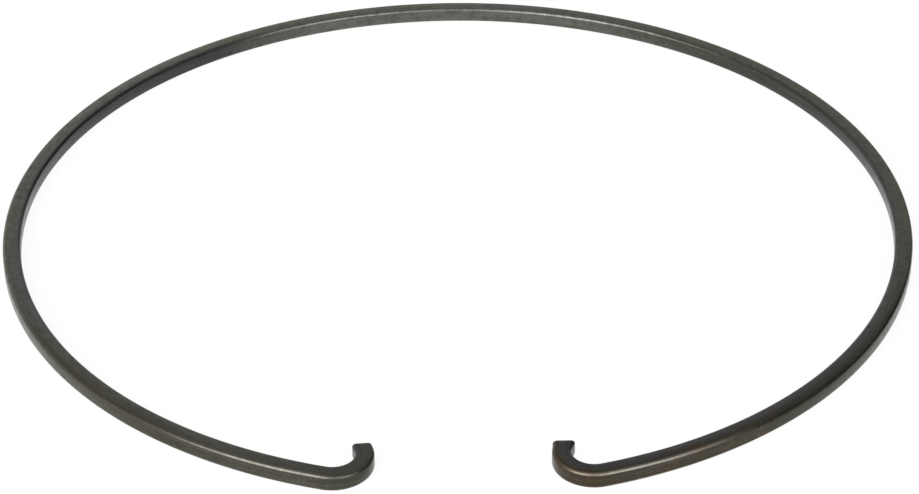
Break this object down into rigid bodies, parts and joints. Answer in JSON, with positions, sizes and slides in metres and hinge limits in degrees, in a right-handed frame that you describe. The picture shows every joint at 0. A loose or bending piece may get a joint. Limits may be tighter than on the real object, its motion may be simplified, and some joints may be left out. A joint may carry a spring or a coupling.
{
  "type": "retaining ring",
  "caption": "Open snap ring of rectangular spring wire with inward hooked ends, for a groove in a round bore.",
  "frame": {"origin": "centre of the ring on its middle plane, halfway through the wire's thickness", "axes": "+Z along the ring's axis; the opening between the hooks faces -Y; +X to the right when the opening is in front"},
  "size_m": [0.218, 0.214, 0.004],
  "materials": {
    "spring_steel": "oil-blackened rolled spring steel, semi-gloss"
  },
  "bodies": {
    "root": {"retaining_ring": "spring_steel"}
  },
  "joints": []
}
